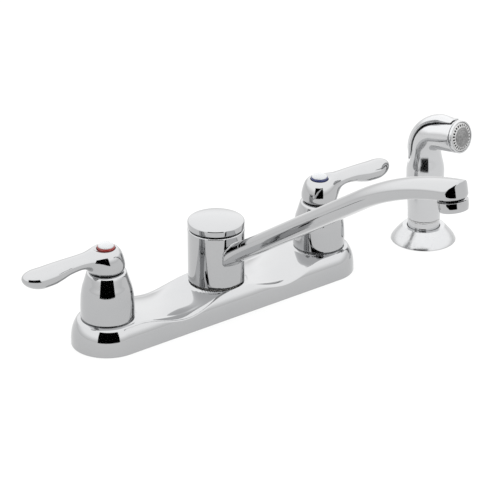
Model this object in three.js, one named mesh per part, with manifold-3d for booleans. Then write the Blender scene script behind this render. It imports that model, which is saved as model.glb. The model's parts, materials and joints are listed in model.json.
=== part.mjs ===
// Two handle kitchen faucet with a swivel spout and a side spray, in millimetres, +Z up.
// The origin is on the deck under the spout's swivel axis; the user stands towards -Y.
// The hot side is at -X, the cold side at +X, and the side spray stands beyond the cold handle.
import * as THREE from "three";
import { mergeVertices } from "three/addons/utils/BufferGeometryUtils.js";
import Module from "manifold-3d";

const wasm = await Module();
wasm.setup();

// ---------- driving dimensions ----------
const clearance = 0.3;              // air between pieces that touch or slide
const roundSegments = 28;           // facets round a large turned piece
const smallSegments = 14;           // facets round a small turned piece
const tau = 2 * Math.PI;

const handleSpacing = 203.2;        // hot to cold valve axis, eight inches
const handleX = handleSpacing / 2;

const plateHalfWidth = 27.9;        // half the depth of the base plate, and its end radius
const plateWall = 3;                // thickness of the plate's skin
const gasketGap = 1.8;              // from the gasket to the inside of the rim
const seatMargin = 0.6;             // how far a pad shows round the bell on it
const handleSeatZ = 21;             // flat pad that carries a bell
const hubSeatZ = 21.4;              // flat pad that carries the spout hub

const hubRadius = 21.8;
const hubSeatRadius = hubRadius + 0.8;
const hubBottomZ = 22.1;
const hubGrooveZ = 64.1;            // joint between the hub and its cap
const hubGroove = 1.2;              // how wide that joint is
const hubTopZ = 71;
const hubBoreRadius = 15;

const spoutYaw = THREE.MathUtils.degToRad(4);   // the spout stands this far off straight ahead
const spoutPitch = THREE.MathUtils.degToRad(33.9);
const spoutStraightEnd = 152;       // distance from the swivel axis where the arm starts to level
const spoutBendRadius = 250;
const spoutTipReach = 238.8;        // distance from the swivel axis to the aerator axis, on the crown
const spoutCrownRootZ = 58.4;       // crown of the arm where it leaves the hub
const spoutThickness = 14.7;
const spoutRootHalfWidth = 10.6;
const spoutTipHalfWidth = 11.2;
const spoutRootCrown = 5.2;         // height of the crowned top above its side creases
const spoutTipCrown = 7.4;
const spoutBellyDrop = 2;           // how far the underside is rounded
const spoutSkin = 2.4;              // wall round the water channel

const aeratorRadius = 10.8;
const aeratorBottomRadius = 10.1;
const aeratorShow = 7.3;            // how far the aerator shows below the nose
const aeratorSocketDepth = 6;

const postRadius = hubBoreRadius - clearance;
const postTopZ = 61.3;
const hubCounterRadius = 17.6;      // wider bore above the hub's inner shoulder
const hubShoulderZ = 58.7;

const bellRadius = 20.3;
const handleSeatRadius = bellRadius + seatMargin;
const bellTopZ = 58.5;
const bellTopRadius = 14.5;
const bellWall = 2.2;

const domeRadius = 13.9;
const waistRadius = 12.2;
const handleBottomZ = bellTopZ + clearance;
const handleTopZ = 77;
const leverReach = 71.5;            // valve axis to lever tip
const leverLean = THREE.MathUtils.degToRad(1.6); // closed levers point a little to the back
const indexRadius = 7;              // outside of the coloured ring
const indexFloorZ = 74.4;
const indexTopZ = 78.6;
const buttonRadius = 5.7;
const buttonTopZ = 81.2;

const socketRadius = 13.4;          // brass valve socket
const socketTopZ = 31;
const cartridgeRadius = 10.2;
const cartridgeTopZ = 41;
const stemRadius = 4.2;
const stemBottomZ = 18.4;
const stemTopZ = 69;

const sprayX = 204;
const sprayY = -9.9;
const sprayYaw = THREE.MathUtils.degToRad(8);
const sprayTilt = THREE.MathUtils.degToRad(11);  // how far the spray barrel points upwards
const holderRadius = 26.3;
const holderTopZ = 12;
const holderRimRadius = 17;
const holderBoreRadius = 15.2;
const holderLipZ = 10.9;            // underside of the lip that closes the holder round the collar
const collarRadius = 13;
const collarBottomZ = 2.9;
const collarTopZ = 17.8;
const sprayRingTopZ = 18.9;
const neckBaseRadius = 13.2;
const neckBulgeRadius = 15.2;
const neckBulgeZ = 56;
const neckTopRadius = 12.5;
const faceRadius = 12.4;
const bendRadius = 15.5;
const bendStartZ = 79.3;
const barrelLength = 20.3;          // end of the bend to the back of the face ring
const leverSkin = 1.7;
const leverSpan = THREE.MathUtils.degToRad(40);  // half the angle the spray lever wraps at the neck
const leverTipSpan = THREE.MathUtils.degToRad(20); // and at the end of the barrel

// ---------- materials ----------
const finish = (color, roughness, metalness) =>
  new THREE.MeshStandardMaterial({ color, roughness, metalness });
const chrome = () => finish(0xd9dbde, 0.08, 1);
const brass = () => finish(0xb8944e, 0.35, 1);
const steel = () => finish(0xb9bcc0, 0.3, 1);
const rubber = () => finish(0x1c1c1e, 0.8, 0);
const darkPlastic = () => finish(0x26272a, 0.55, 0);
const palePlastic = () => finish(0xd8d6cf, 0.5, 0);
const hotRed = () => finish(0x8e1414, 0.3, 0);
const coldBlue = () => finish(0x14305f, 0.3, 0);

// ---------- solids ----------
// Every shape becomes a closed solid that faces outwards, whichever way it was drawn.
function toSolid(geometry) {
  const bare = new THREE.BufferGeometry();
  bare.setAttribute("position", geometry.getAttribute("position"));
  bare.setIndex(geometry.getIndex());
  const welded = mergeVertices(bare, 1e-4);
  const position = welded.getAttribute("position");
  const index = welded.getIndex().array;
  const corners = [new THREE.Vector3(), new THREE.Vector3(), new THREE.Vector3()];
  const triangles = [];
  let volume = 0;
  for (let i = 0; i < index.length; i += 3) {
    const [a, b, c] = [index[i], index[i + 1], index[i + 2]];
    if (a === b || b === c || c === a) continue;
    corners.forEach((corner, k) => corner.fromBufferAttribute(position, index[i + k]));
    volume += corners[0].dot(corners[1].cross(corners[2]));
    triangles.push(a, b, c);
  }
  if (volume < 0) {
    for (let i = 0; i < triangles.length; i += 3) {
      [triangles[i + 1], triangles[i + 2]] = [triangles[i + 2], triangles[i + 1]];
    }
  }
  return new wasm.Manifold(new wasm.Mesh({
    numProp: 3,
    vertProperties: new Float32Array(position.array),
    triVerts: new Uint32Array(triangles),
  }));
}

function toMesh(name, solid, material) {
  const { vertProperties, triVerts } = solid.getMesh();
  const geometry = new THREE.BufferGeometry();
  geometry.setAttribute("position", new THREE.BufferAttribute(new Float32Array(vertProperties), 3));
  geometry.setIndex(new THREE.BufferAttribute(new Uint32Array(triVerts), 1));
  geometry.computeVertexNormals();
  const mesh = new THREE.Mesh(geometry, material);
  mesh.name = name;
  return mesh;
}

// A turned solid about +Z. The outline is a list of [radius, height] pairs; it is closed
// either by the axis at both ends or by its own last corner.
function turned(outline, segments = roundSegments) {
  const points = outline.map(([radius, height]) => new THREE.Vector2(Math.max(radius, 0), height));
  const onAxis = outline[0][0] === 0 && outline[outline.length - 1][0] === 0;
  if (!onAxis) points.push(points[0].clone());
  const geometry = new THREE.LatheGeometry(points, segments);
  geometry.rotateX(Math.PI / 2);
  return toSolid(geometry);
}

const rod = (radius, z0, z1, segments = smallSegments) =>
  turned([[0, z0], [radius, z0], [radius, z1], [0, z1]], segments);
const tube = (inner, outer, z0, z1, segments = smallSegments) =>
  turned([[inner, z0], [outer, z0], [outer, z1], [inner, z1]], segments);

// A solid skinned over rings of points, each ring with the same number of corners.
function lofted(rings) {
  const count = rings[0].length;
  const corners = rings.flat();
  const index = [];
  for (let r = 0; r + 1 < rings.length; r += 1) {
    for (let i = 0; i < count; i += 1) {
      const [a, b] = [r * count + i, r * count + ((i + 1) % count)];
      index.push(a, b, b + count, a, b + count, a + count);
    }
  }
  [rings[0], rings[rings.length - 1]].forEach((ring, end) => {
    const centre = ring.reduce((sum, p) => sum.add(p), new THREE.Vector3()).divideScalar(count);
    const first = end === 0 ? 0 : (rings.length - 1) * count;
    corners.push(centre);
    for (let i = 0; i < count; i += 1) {
      const [a, b] = [first + i, first + ((i + 1) % count)];
      index.push(corners.length - 1, end === 0 ? b : a, end === 0 ? a : b);
    }
  });
  const geometry = new THREE.BufferGeometry().setFromPoints(corners);
  geometry.setIndex(index);
  return toSolid(geometry);
}

const matrixOf = (object) => {
  object.updateMatrixWorld(true);
  return object.matrixWorld.elements;
};
function moved(solid, x, y, z, yaw = 0) {
  const place = new THREE.Object3D();
  place.position.set(x, y, z);
  place.rotation.z = yaw;
  return solid.transform(matrixOf(place));
}

const range = (count) => Array.from({ length: count }, (_, i) => i);
const mix = (a, b, t) => a + (b - a) * t;
const smooth = (t) => {
  const s = Math.min(Math.max(t, 0), 1);
  return s * s * (3 - 2 * s);
};

// ---------- base plate ----------
// The rim leans in as it rises, slowly at first, to a fold. A shoulder climbs from the fold to a
// crest, and the top swells a little towards its middle. The top is high at the hub and at the
// handles, and lies low between them.
const rimLean = 5.9e-4;             // how far the rim has leaned in, per cube of its height
const foldHub = { foldZ: 19.4, crest: 22, crestZ: hubSeatZ - 0.3, topZ: hubSeatZ - 0.3 };
const foldMiddle = { foldZ: 12.3, crest: 20, crestZ: 15, topZ: 16 };
const foldHandle = { foldZ: 20.3, crest: 21.3, crestZ: handleSeatZ - 0.3, topZ: handleSeatZ - 0.3 };
const middleX = 47;
const foldReach = (foldZ) => plateHalfWidth - rimLean * foldZ ** 3;

function plateShape(x) {
  const along = Math.min(Math.abs(x), handleX);
  const inner = along < middleX;
  const near = inner ? foldHub : foldHandle;
  const start = inner ? 8 : handleX - 12;
  const t = smooth((along - start) / (middleX - start));
  const shape = {};
  Object.keys(near).forEach((key) => {
    shape[key] = mix(near[key], foldMiddle[key], t);
  });
  return shape;
}

// One loop round the plate at a given place on its profile, thinned by an inset.
function plateLoop(profile, inset, [sideSteps, arcSteps]) {
  const stations = [];
  range(sideSteps).forEach((i) => stations.push([mix(-handleX, handleX, i / sideSteps), -Math.PI / 2]));
  range(arcSteps).forEach((i) => stations.push([handleX, mix(-0.5, 0.5, i / arcSteps) * Math.PI]));
  range(sideSteps).forEach((i) => stations.push([mix(handleX, -handleX, i / sideSteps), Math.PI / 2]));
  range(arcSteps).forEach((i) => stations.push([-handleX, mix(0.5, 1.5, i / arcSteps) * Math.PI]));
  return stations.map(([x, angle]) => {
    const [out, z] = profile(plateShape(x), inset);
    return new THREE.Vector3(x + out * Math.cos(angle), out * Math.sin(angle), z);
  });
}

function plateSolid(inset, bottomZ, loopSteps, steps) {
  const rimAt = (share) => (shape, skin) => {
    const z = share * shape.foldZ;
    return [foldReach(z) - skin, Math.max(z - skin, bottomZ)];
  };
  const crestAt = (share) => (shape, skin) => {
    const out = mix(foldReach(shape.foldZ), shape.crest, share) - skin;
    return [out, mix(shape.foldZ, shape.crestZ, share * (2 - share)) - skin];
  };
  const profiles = [
    (shape, skin) => [plateHalfWidth - skin, bottomZ],
    ...range(steps).map((i) => rimAt(1 - (1 - (i + 1) / (steps + 1)) ** 1.5)),
    ...range(steps).map((i) => crestAt(i / (steps - 1))),
    (shape, skin) => [shape.crest * 0.45, shape.topZ - skin],
  ];
  return lofted(profiles.map((profile) => plateLoop(profile, inset, loopSteps)));
}

function basePlate() {
  let plate = plateSolid(0, 0, [20, 9], 5);
  for (const x of [-handleX, handleX]) {
    plate = plate.add(moved(rod(handleSeatRadius, 8, handleSeatZ, roundSegments), x, 0, 0));
  }
  plate = plate.add(rod(hubSeatRadius, 8, hubSeatZ, roundSegments));
  plate = plate.subtract(plateSolid(plateWall, -1, [6, 5], 2));
  for (const x of [-handleX, handleX]) {
    plate = plate.subtract(moved(rod(socketRadius + clearance, -1, 40, 20), x, 0, 0));
  }
  return plate.subtract(rod(postRadius + clearance, -1, 40, 22));
}

// A flat gasket lies inside the rim of the plate, on the deck.
function baseGasket() {
  const loop = (out) => {
    const shape = new THREE.Shape();
    shape.absarc(handleX, 0, out, -Math.PI / 2, Math.PI / 2, false);
    shape.absarc(-handleX, 0, out, Math.PI / 2, (3 * Math.PI) / 2, false);
    shape.closePath();
    const options = { depth: 1.5, bevelEnabled: false, curveSegments: 9 };
    return toSolid(new THREE.ExtrudeGeometry(shape, options));
  };
  const outer = loop(plateHalfWidth - plateWall - gasketGap);
  const inner = moved(loop(plateHalfWidth - plateWall - 6), 0, 0, -0.2).scale([1, 1, 2]);
  return outer.subtract(inner);
}

// ---------- waterway under the plate ----------
const portZ = 49;                   // where water passes from the post into the arm
const sealZ = [37, 55.8];           // the two rubber seals on the post
const sealSection = 1.1;
const sealRadius = postRadius - sealSection - 0.3;

const pipeRadius = 4.6;             // the pipe from valve to valve under the plate
const pipeZ = 7.6;
const pipeBore = 3.2;
const hosePortRadius = 3;           // outlet that feeds the side spray
const hosePortY = 8.4;
const clipInner = 13.2;
const clipOuter = hubCounterRadius - 2 * clearance;
const clipZ = hubShoulderZ + clearance;
const clipThickness = 1.2;
const clipGroove = [clipZ - clearance, clipZ + clipThickness + clearance];

function crossPipe(radius, sides) {
  const pipe = new THREE.CylinderGeometry(radius, radius, handleSpacing, sides).rotateZ(Math.PI / 2);
  return moved(toSolid(pipe), 0, 0, pipeZ);
}

function waterway() {
  let body = rod(postRadius, 3, postTopZ, 22);
  body = body.add(rod(13.2, 0, 3.5));
  for (const side of [-1, 1]) {
    const x = side * handleX;
    body = body.add(moved(rod(socketRadius, 2.5, socketTopZ, 20), x, 0, 0));
    body = body.add(moved(rod(9.5, 0.6, 3), x, 0, 0));
  }
  body = body.add(crossPipe(pipeRadius, 16));
  for (const z of sealZ) {
    body = body.subtract(tube(sealRadius - sealSection - 0.2, 20, z - 1.4, z + 1.4, 22));
  }
  body = body.subtract(tube(clipInner - clearance, 20, clipGroove[0], clipGroove[1], 22));
  for (const side of [-1, 1]) {
    const x = side * handleX;
    body = body.subtract(moved(rod(cartridgeRadius + clearance, 8, 60, 20), x, 0, 0));
    body = body.subtract(moved(rod(6, -1, 9, 16), x, 0, 0));
  }
  body = body.subtract(crossPipe(pipeBore, 12));
  body = body.subtract(rod(7, 5, portZ + 4, 16));
  body = body.subtract(moved(rod(hosePortRadius, -1, 6, 12), 0, hosePortY, 0));
  const port = toSolid(new THREE.CylinderGeometry(3.6, 3.6, 20, 12));
  return body.subtract(moved(port, 0, -12, portZ));
}

const sealRing = (z) => moved(
  toSolid(new THREE.TorusGeometry(sealRadius, sealSection, 6, 22)), 0, 0, z);
const spoutClip = () => {
  const ring = tube(clipInner, clipOuter, clipZ, clipZ + clipThickness, 24);
  const gap = toSolid(new THREE.BoxGeometry(5, 10, 6));
  return ring.subtract(moved(gap, 0, 15, clipZ));
};
// The hub turns on a plastic ring that stands on the plate.
const glideRing = () => tube(hubBoreRadius + 0.4, 18.6, hubSeatZ + clearance, 25.6, 24);

// ---------- valves ----------
function cartridge() {
  const body = turned([
    [0, 8.4], [cartridgeRadius, 8.4], [cartridgeRadius, socketTopZ + 1.5], [8.2, socketTopZ + 2.5],
    [8.2, cartridgeTopZ], [0, cartridgeTopZ],
  ], 20);
  const inlets = tube(2.2, 4.4, 7, 12, 12);
  return body.subtract(rod(stemRadius + clearance, stemBottomZ - 0.4, cartridgeTopZ + 1)).subtract(inlets);
}

function bonnetNut() {
  const z0 = socketTopZ + clearance;
  const z1 = z0 + 6;
  const hexagon = rod(14.6, z0, z1, 6);
  const bevel = turned([
    [0, z0 - 1], [13.2, z0 - 1], [15, z0 + 2], [15, z1 - 2], [13.2, z1 + 1], [0, z1 + 1],
  ], 24);
  return hexagon.intersect(bevel).subtract(rod(cartridgeRadius + clearance, z0 - 1, z1 + 1, 24));
}

// The bell's side: the share of its height and the share of its narrowing at each corner.
const bellSide = [
  [0, 0], [0.18, 0], [0.44, 0.07], [0.66, 0.29], [0.78, 0.53], [0.89, 0.74], [0.97, 0.91], [1, 1.07],
];
function bell() {
  const z0 = handleSeatZ + clearance;
  const outer = bellSide.map(([height, narrowing]) => [
    mix(bellRadius, bellTopRadius, narrowing), mix(z0, bellTopZ, height),
  ]);
  const inner = [
    [handleSpigotRadius + clearance, bellTopZ], [handleSpigotRadius + clearance, bellTopZ - bellWall],
    [bellTopRadius - bellWall, bellTopZ - bellWall],
    [mix(bellRadius, bellTopRadius, 0.29) - bellWall, mix(z0, bellTopZ, 0.62)],
    [bellRadius - bellWall, mix(z0, bellTopZ, 0.23)], [bellRadius - bellWall, z0],
  ];
  return turned([...outer, ...inner]);
}

// ---------- handles ----------
const handleSpigotRadius = 9.2;
const socketFloorZ = 50;

// One ring of the lever at a share of its reach: half width, half height, and how far its
// middle is below the top of the handle.
const leverRings = [
  [0, 8.6, 6.4, 7.2], [0.17, 8.8, 6.6, 6.2], [0.26, 8.1, 5.6, 5.5], [0.35, 7.7, 5.3, 5.3],
  [0.468, 7.9, 5.8, 5.8],
  [0.582, 8.8, 6.9, 7.1], [0.681, 9.5, 7.5, 8], [0.78, 9.6, 7.5, 8.3], [0.88, 8.6, 6.6, 7.8],
  [0.943, 6.8, 5.2, 7.2], [0.982, 4.4, 3.3, 6.7], [1, 1.4, 1, 6.4],
];

const leverSides = 12;
function leverArm() {
  return lofted(leverRings.map(([share, wide, high, drop]) => range(leverSides).map((i) => {
    const angle = (i / leverSides) * tau;
    return new THREE.Vector3(
      share * leverReach, wide * Math.cos(angle), handleTopZ - drop + high * Math.sin(angle));
  })));
}

function handle(lean) {
  const z0 = handleBottomZ;
  const dome = turned([
    [0, socketFloorZ], [handleSpigotRadius, socketFloorZ], [handleSpigotRadius, z0], [waistRadius, z0],
    [waistRadius, z0 + 1.1], [domeRadius - 0.8, z0 + 3], [domeRadius, z0 + 6.2],
    [domeRadius - 0.3, z0 + 9.7], [domeRadius - 1.5, z0 + 12.9], [domeRadius - 3.4, z0 + 15.8],
    [domeRadius - 5, z0 + 17.4],
    [indexRadius + 0.5, handleTopZ], [0, handleTopZ],
  ], 24);
  const stemHole = rod(stemRadius + clearance, socketFloorZ - 1, stemTopZ + clearance);
  const screwHole = rod(screwShank + clearance, stemTopZ - 1, buttonTopZ, 12);
  const screwSeat = rod(screwHead + clearance, screwSeatZ, buttonTopZ, 16);
  const indexSeat = rod(indexRadius + clearance, indexFloorZ, buttonTopZ, 24);
  const solid = dome.add(moved(leverArm(), 0, 0, 0, lean));
  return solid.subtract(stemHole).subtract(screwHole).subtract(screwSeat).subtract(indexSeat);
}

const screwShank = 2;
const screwHead = 3.6;
const screwSeatZ = stemTopZ + 2.3;
const screwHoleZ = stemTopZ - 11;   // bottom of the screw's hole in the stem
const stem = () => rod(stemRadius, stemBottomZ, stemTopZ)
  .subtract(rod(screwShank + clearance, screwHoleZ, stemTopZ + 1, 12));
function handleScrew() {
  const seat = screwSeatZ + clearance;
  const screw = turned([
    [0, screwHoleZ + 1], [screwShank, screwHoleZ + 1], [screwShank, seat], [screwHead, seat],
    [screwHead, seat + 1.6],
    [screwHead - 0.6, seat + 2.2], [0, seat + 2.2],
  ], 16);
  const slot = toSolid(new THREE.BoxGeometry(0.9, 5, 1.6));
  return screw.subtract(moved(slot, 0, 0, seat + 2.2));
}
const indexRing = () => turned([
  [buttonRadius + clearance, indexFloorZ + clearance], [indexRadius, indexFloorZ + clearance],
  [indexRadius, handleTopZ], [buttonRadius + 0.5, indexTopZ], [buttonRadius + clearance, indexTopZ],
], 24);
function indexButton() {
  const domeSteps = range(6).map((i) => {
    const turn = (i / 5) * Math.PI / 2;
    return [buttonRadius * Math.cos(turn), mix(indexTopZ, buttonTopZ, Math.sin(turn))];
  });
  return turned([[0, indexFloorZ + clearance], [buttonRadius, indexFloorZ + clearance], ...domeSteps], 24);
}

// ---------- spout ----------
// The crown line of the arm rises straight from the hub, then levels off along an arc.
function crownPoint(reach) {
  const rise = Math.tan(spoutPitch);
  if (reach <= spoutStraightEnd) {
    return { s: reach, z: spoutCrownRootZ + (reach - hubRadius) * rise, pitch: spoutPitch };
  }
  const pitch = Math.asin(Math.sin(spoutPitch) - (reach - spoutStraightEnd) / spoutBendRadius);
  const straightZ = spoutCrownRootZ + (spoutStraightEnd - hubRadius) * rise;
  const z = straightZ + spoutBendRadius * (Math.cos(pitch) - Math.cos(spoutPitch));
  return { s: reach, z, pitch };
}

// A cross-section of the arm: crowned top, upright sides and a slightly rounded belly.
function armRing(reach, skin) {
  const { s, z, pitch } = crownPoint(reach);
  const t = (reach - hubRadius) / (spoutTipReach - hubRadius);
  const half = mix(spoutRootHalfWidth, spoutTipHalfWidth, t) - skin;
  const crown = mix(spoutRootCrown, spoutTipCrown, t) * (half / (half + skin));
  const radius = (half * half + crown * crown) / (2 * crown);
  const spread = Math.asin(half / radius);
  const outline = [
    ...range(9).map((i) => {
      const angle = mix(spread, -spread, i / 8);
      return [radius * Math.sin(angle), radius * (Math.cos(angle) - 1) - skin];
    }),
    ...range(5).map((i) => {
      const angle = mix(0, Math.PI, i / 4);
      const low = spoutBellyDrop * Math.sin(angle);
      return [-half * Math.cos(angle), -(spoutThickness - spoutBellyDrop) - low + skin];
    }),
  ];
  return outline.map(([lateral, up]) => new THREE.Vector3(
    lateral, -(s - up * Math.sin(pitch)), z + up * Math.cos(pitch)));
}

// The nose frame: its own +Z points back up along the aerator's axis, -Y ahead.
function atNose(solid) {
  const { s, z, pitch } = crownPoint(spoutTipReach);
  const place = new THREE.Object3D();
  place.position.set(0, -s, z);
  place.rotation.x = -pitch;
  return solid.transform(matrixOf(place));
}

function spoutArm() {
  const outerStops = [4, 80, spoutStraightEnd, ...range(8).map((i) => 164 + i * 13), 262];
  let arm = lofted(outerStops.map((reach) => armRing(reach, 0)));
  const ahead = moved(toSolid(new THREE.BoxGeometry(60, 60, 80)), 0, -30, 0);
  const noseRound = rod(spoutTipHalfWidth, -60, 40, roundSegments);
  arm = arm.subtract(atNose(ahead.subtract(noseRound)));

  const hub = rod(hubRadius, hubBottomZ, hubGrooveZ, roundSegments);
  const innerStops = [2, spoutStraightEnd, ...range(4).map((i) => 168 + i * 19), spoutTipReach];
  const channel = lofted(innerStops.map((reach) => armRing(reach, spoutSkin)));
  arm = arm.add(hub).subtract(channel);
  arm = arm.subtract(rod(hubBoreRadius, 0, 90, 24)).subtract(rod(hubCounterRadius, hubShoulderZ, 90, 24));
  arm = arm.subtract(rod(19, 0, 26, 24));
  const socket = rod(aeratorRadius - 1.6 + clearance, -40, -spoutThickness + aeratorSocketDepth, 28);
  return turnSpout(arm.subtract(atNose(socket)));
}
const turnSpout = (solid) => moved(solid, 0, 0, 0, spoutYaw);

function spoutCap() {
  const z0 = hubGrooveZ + hubGroove;
  return turned([
    [0, postTopZ + 0.6], [hubCounterRadius - clearance, postTopZ + 0.6],
    [hubCounterRadius - clearance, z0],
    [hubRadius - 0.5, z0], [hubRadius, z0 + 0.5], [hubRadius, hubTopZ - 1.2],
    [hubRadius - 0.4, hubTopZ - 0.4], [hubRadius - 1.3, hubTopZ], [0, hubTopZ],
  ]);
}

function aeratorShell() {
  const top = -spoutThickness - clearance;
  const bottom = -spoutThickness - aeratorShow;
  return turnSpout(atNose(turned([
    [aeratorBottomRadius - 1.4, bottom], [aeratorBottomRadius - 0.4, bottom],
    [aeratorBottomRadius, bottom + 0.5], [aeratorRadius - 0.1, bottom + 3], [aeratorRadius, top],
    [aeratorRadius - 1.6, top], [aeratorRadius - 1.6, top + 4.6], [aeratorRadius - 2.8, top + 4.6],
    [aeratorRadius - 2.8, bottom + 3], [aeratorBottomRadius - 1.4, bottom + 2.4],
  ], 24)));
}
const screenRadius = aeratorRadius - 2.8 - clearance;
function aeratorScreen() {
  const floor = -spoutThickness - aeratorShow + 3.2;
  let screen = rod(screenRadius, floor, floor + 1.6, 22);
  for (const row of [{ count: 5, out: 2.9 }, { count: 9, out: 5.6 }]) {
    for (const i of range(row.count)) {
      const angle = (i / row.count) * tau;
      const hole = rod(0.75, floor - 1, floor + 3, 6);
      screen = screen.subtract(moved(hole, row.out * Math.cos(angle), row.out * Math.sin(angle), 0));
    }
  }
  return turnSpout(atNose(screen));
}
function aeratorWasher() {
  const top = -spoutThickness - clearance + 4.6 + clearance;
  return turnSpout(atNose(tube(5.2, aeratorRadius - 1.8, top, top + 0.8, 28)));
}

// ---------- side spray ----------
// The spray is drawn facing -Y on its own axis, then turned and set on the deck.
const placeSpray = (solid) => moved(solid, sprayX, sprayY, 0, sprayYaw);
const sprayBaseZ = sprayRingTopZ + clearance;
const neckLength = bendStartZ - sprayBaseZ;
const bendTurn = Math.PI / 2 - sprayTilt;
const bendLength = bendRadius * bendTurn;
const bodyLength = neckLength + bendLength + barrelLength;

// A place on the centre line: how far ahead, how high, which way it runs and how thick it is.
function sprayPoint(t) {
  const z = sprayBaseZ + Math.min(t, neckLength);
  const turn = Math.min(Math.max(t - neckLength, 0) / bendRadius, bendTurn);
  const straight = Math.max(t - neckLength - bendLength, 0);
  const ahead = bendRadius * (1 - Math.cos(turn)) + straight * Math.sin(turn);
  const high = z + bendRadius * Math.sin(turn) + straight * Math.cos(turn);
  const bulge = smooth((z - sprayBaseZ) / (neckBulgeZ - sprayBaseZ));
  const draw = smooth((z - neckBulgeZ) / (bendStartZ - neckBulgeZ));
  const flare = smooth((t - neckLength - bendLength) / barrelLength);
  const neck = mix(mix(neckBaseRadius, neckBulgeRadius, bulge), neckTopRadius, draw);
  return { ahead, high, turn, radius: mix(neck, faceRadius, flare) };
}

// A point round the centre line; an angle of zero is at the back of the neck and top of the barrel.
function aroundSpray({ ahead, high, turn }, radius, angle) {
  const out = radius * Math.cos(angle);
  return new THREE.Vector3(
    radius * Math.sin(angle), -(ahead - out * Math.cos(turn)), high + out * Math.sin(turn));
}

const sprayRound = (radiusAt, stops, sides) => lofted(stops.map((t) => {
  const place = sprayPoint(t);
  return range(sides).map((i) => aroundSpray(place, radiusAt(place), (i / sides) * tau));
}));

// The pressing lever follows the back of the neck and the top of the barrel.
const leverStart = 69.5 - sprayBaseZ;
const leverEnd = bodyLength - 1.2;
const thumbRidge = neckLength + bendLength + 3;
function leverInnerRadius(t) {
  const { radius } = sprayPoint(t);
  const lift = smooth((t - leverStart) / 10);
  const settle = smooth((t - neckLength - bendLength) / (barrelLength - 4));
  return radius + mix(mix(-0.9, 1.4, lift), 0.4, settle);
}
const pivotPlace = () => aroundSpray(sprayPoint(leverEnd), leverInnerRadius(leverEnd), 0);
const pressAngle = THREE.MathUtils.degToRad(2.2);

const leverStops = 15;
function leverBand(grow) {
  const stops = range(leverStops).map(
    (i) => mix(leverStart - grow, leverEnd + grow / 2, i / (leverStops - 1)));
  return lofted(stops.map((t) => {
    const place = sprayPoint(t);
    const edge = Math.sin(Math.PI * Math.min((t - leverStart + 3) / 16, 0.5));
    const taper = smooth((t - neckLength) / (bendLength + 8));
    const span = mix(leverSpan, leverTipSpan, taper) * mix(0.8, 1, edge) + grow * 0.06;
    const inner = leverInnerRadius(t) - grow * 0.5;
    const ridge = 1.1 * Math.exp(-(((t - thumbRidge) / 4) ** 2));
    const outer = leverInnerRadius(t) + leverSkin + ridge + 4 * grow;
    const across = range(7).map((i) => mix(-span, span, i / 6));
    return [
      ...across.map((angle) => aroundSpray(place, outer, angle)),
      ...across.reverse().map((angle) => aroundSpray(place, inner, angle)),
    ];
  }));
}

// Turns a solid about the lever's pivot as a press would.
function pressed(solid) {
  const pivot = pivotPlace();
  const swing = new THREE.Object3D();
  swing.position.copy(pivot);
  swing.rotation.x = -pressAngle;
  const back = new THREE.Object3D();
  back.position.copy(pivot).negate();
  return solid.transform(matrixOf(back)).transform(matrixOf(swing));
}

const plungerRadius = 2.2;
const plungerAhead = 8;
const plungerTopZ = 106.6;
const plungerBottomZ = 95;
function sprayPlunger() {
  return placeSpray(moved(turned([
    [0, plungerBottomZ], [plungerRadius, plungerBottomZ], [plungerRadius, plungerTopZ - 0.6],
    [plungerRadius - 0.6, plungerTopZ], [0, plungerTopZ],
  ], 16), 0, -plungerAhead, 0));
}

function sprayShell() {
  const neckStops = [0, 12, 24, 33, 41, 49, 56];
  const bendStops = range(7).map((i) => neckLength + (i / 6) * bendLength);
  const stops = [...neckStops, ...bendStops, bodyLength - 10, bodyLength];
  let shell = sprayRound((place) => place.radius, stops, 24);
  shell = shell.add(rod(spigotRadius, 8, sprayBaseZ + 1, 24));
  const roomy = leverBand(1);
  shell = shell.subtract(roomy).subtract(pressed(roomy));
  const channelStops = [0, neckLength - 4, ...bendStops, bodyLength - 4, bodyLength + 1];
  shell = shell.subtract(sprayRound(() => 6.4, channelStops, 8));
  shell = shell.subtract(rod(6.4, 0, sprayBaseZ + 2, 8));
  const plungerHole = rod(plungerRadius + clearance, plungerBottomZ - 1, plungerTopZ + 13, 16);
  shell = shell.subtract(moved(plungerHole, 0, -plungerAhead, 0));
  return placeSpray(shell);
}
const spigotRadius = 9.6;

// Turned pieces at the mouth of the barrel, whose +Z looks out of the spray.
function atFace(solid) {
  const { ahead, high } = sprayPoint(bodyLength);
  const place = new THREE.Object3D();
  place.position.set(0, -ahead, high);
  place.rotation.x = bendTurn;
  return placeSpray(solid.transform(matrixOf(place)));
}
const bezelInner = 10.2;
const bezelDepth = 2.4;
const sprayBezel = () => atFace(turned([
  [7, clearance], [faceRadius - 0.4, clearance], [faceRadius, 0.9], [faceRadius, bezelDepth - 0.5],
  [faceRadius - 0.6, bezelDepth], [bezelInner + 0.3, bezelDepth], [bezelInner, bezelDepth - 0.3],
  [bezelInner, 1.1], [7, 1.1],
], 26));
function sprayDisc() {
  const radius = bezelInner - clearance;
  let disc = turned([
    [0, 1.1 + clearance], [radius, 1.1 + clearance], [radius, 2.4], [5.6, 2.9], [5.2, 2.4], [0, 2.4],
  ], 24);
  const jets = 14;
  for (const i of range(jets)) {
    const angle = (i / jets) * tau;
    disc = disc.subtract(moved(rod(0.6, 0, 5, 5), 7.6 * Math.cos(angle), 7.6 * Math.sin(angle), 0));
  }
  return atFace(disc);
}
const sprayRing = () => placeSpray(
  tube(spigotRadius + clearance, collarRadius + 0.3, collarTopZ + clearance, sprayRingTopZ, 24));
const sprayCollar = () => placeSpray(turned([
  [7.2, collarBottomZ], [collarRadius - 0.6, collarBottomZ], [collarRadius, collarBottomZ + 0.6],
  [collarRadius, collarTopZ], [spigotRadius + clearance, collarTopZ], [spigotRadius + clearance, 7.6],
  [7.2, 7.6],
], 24));

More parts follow.
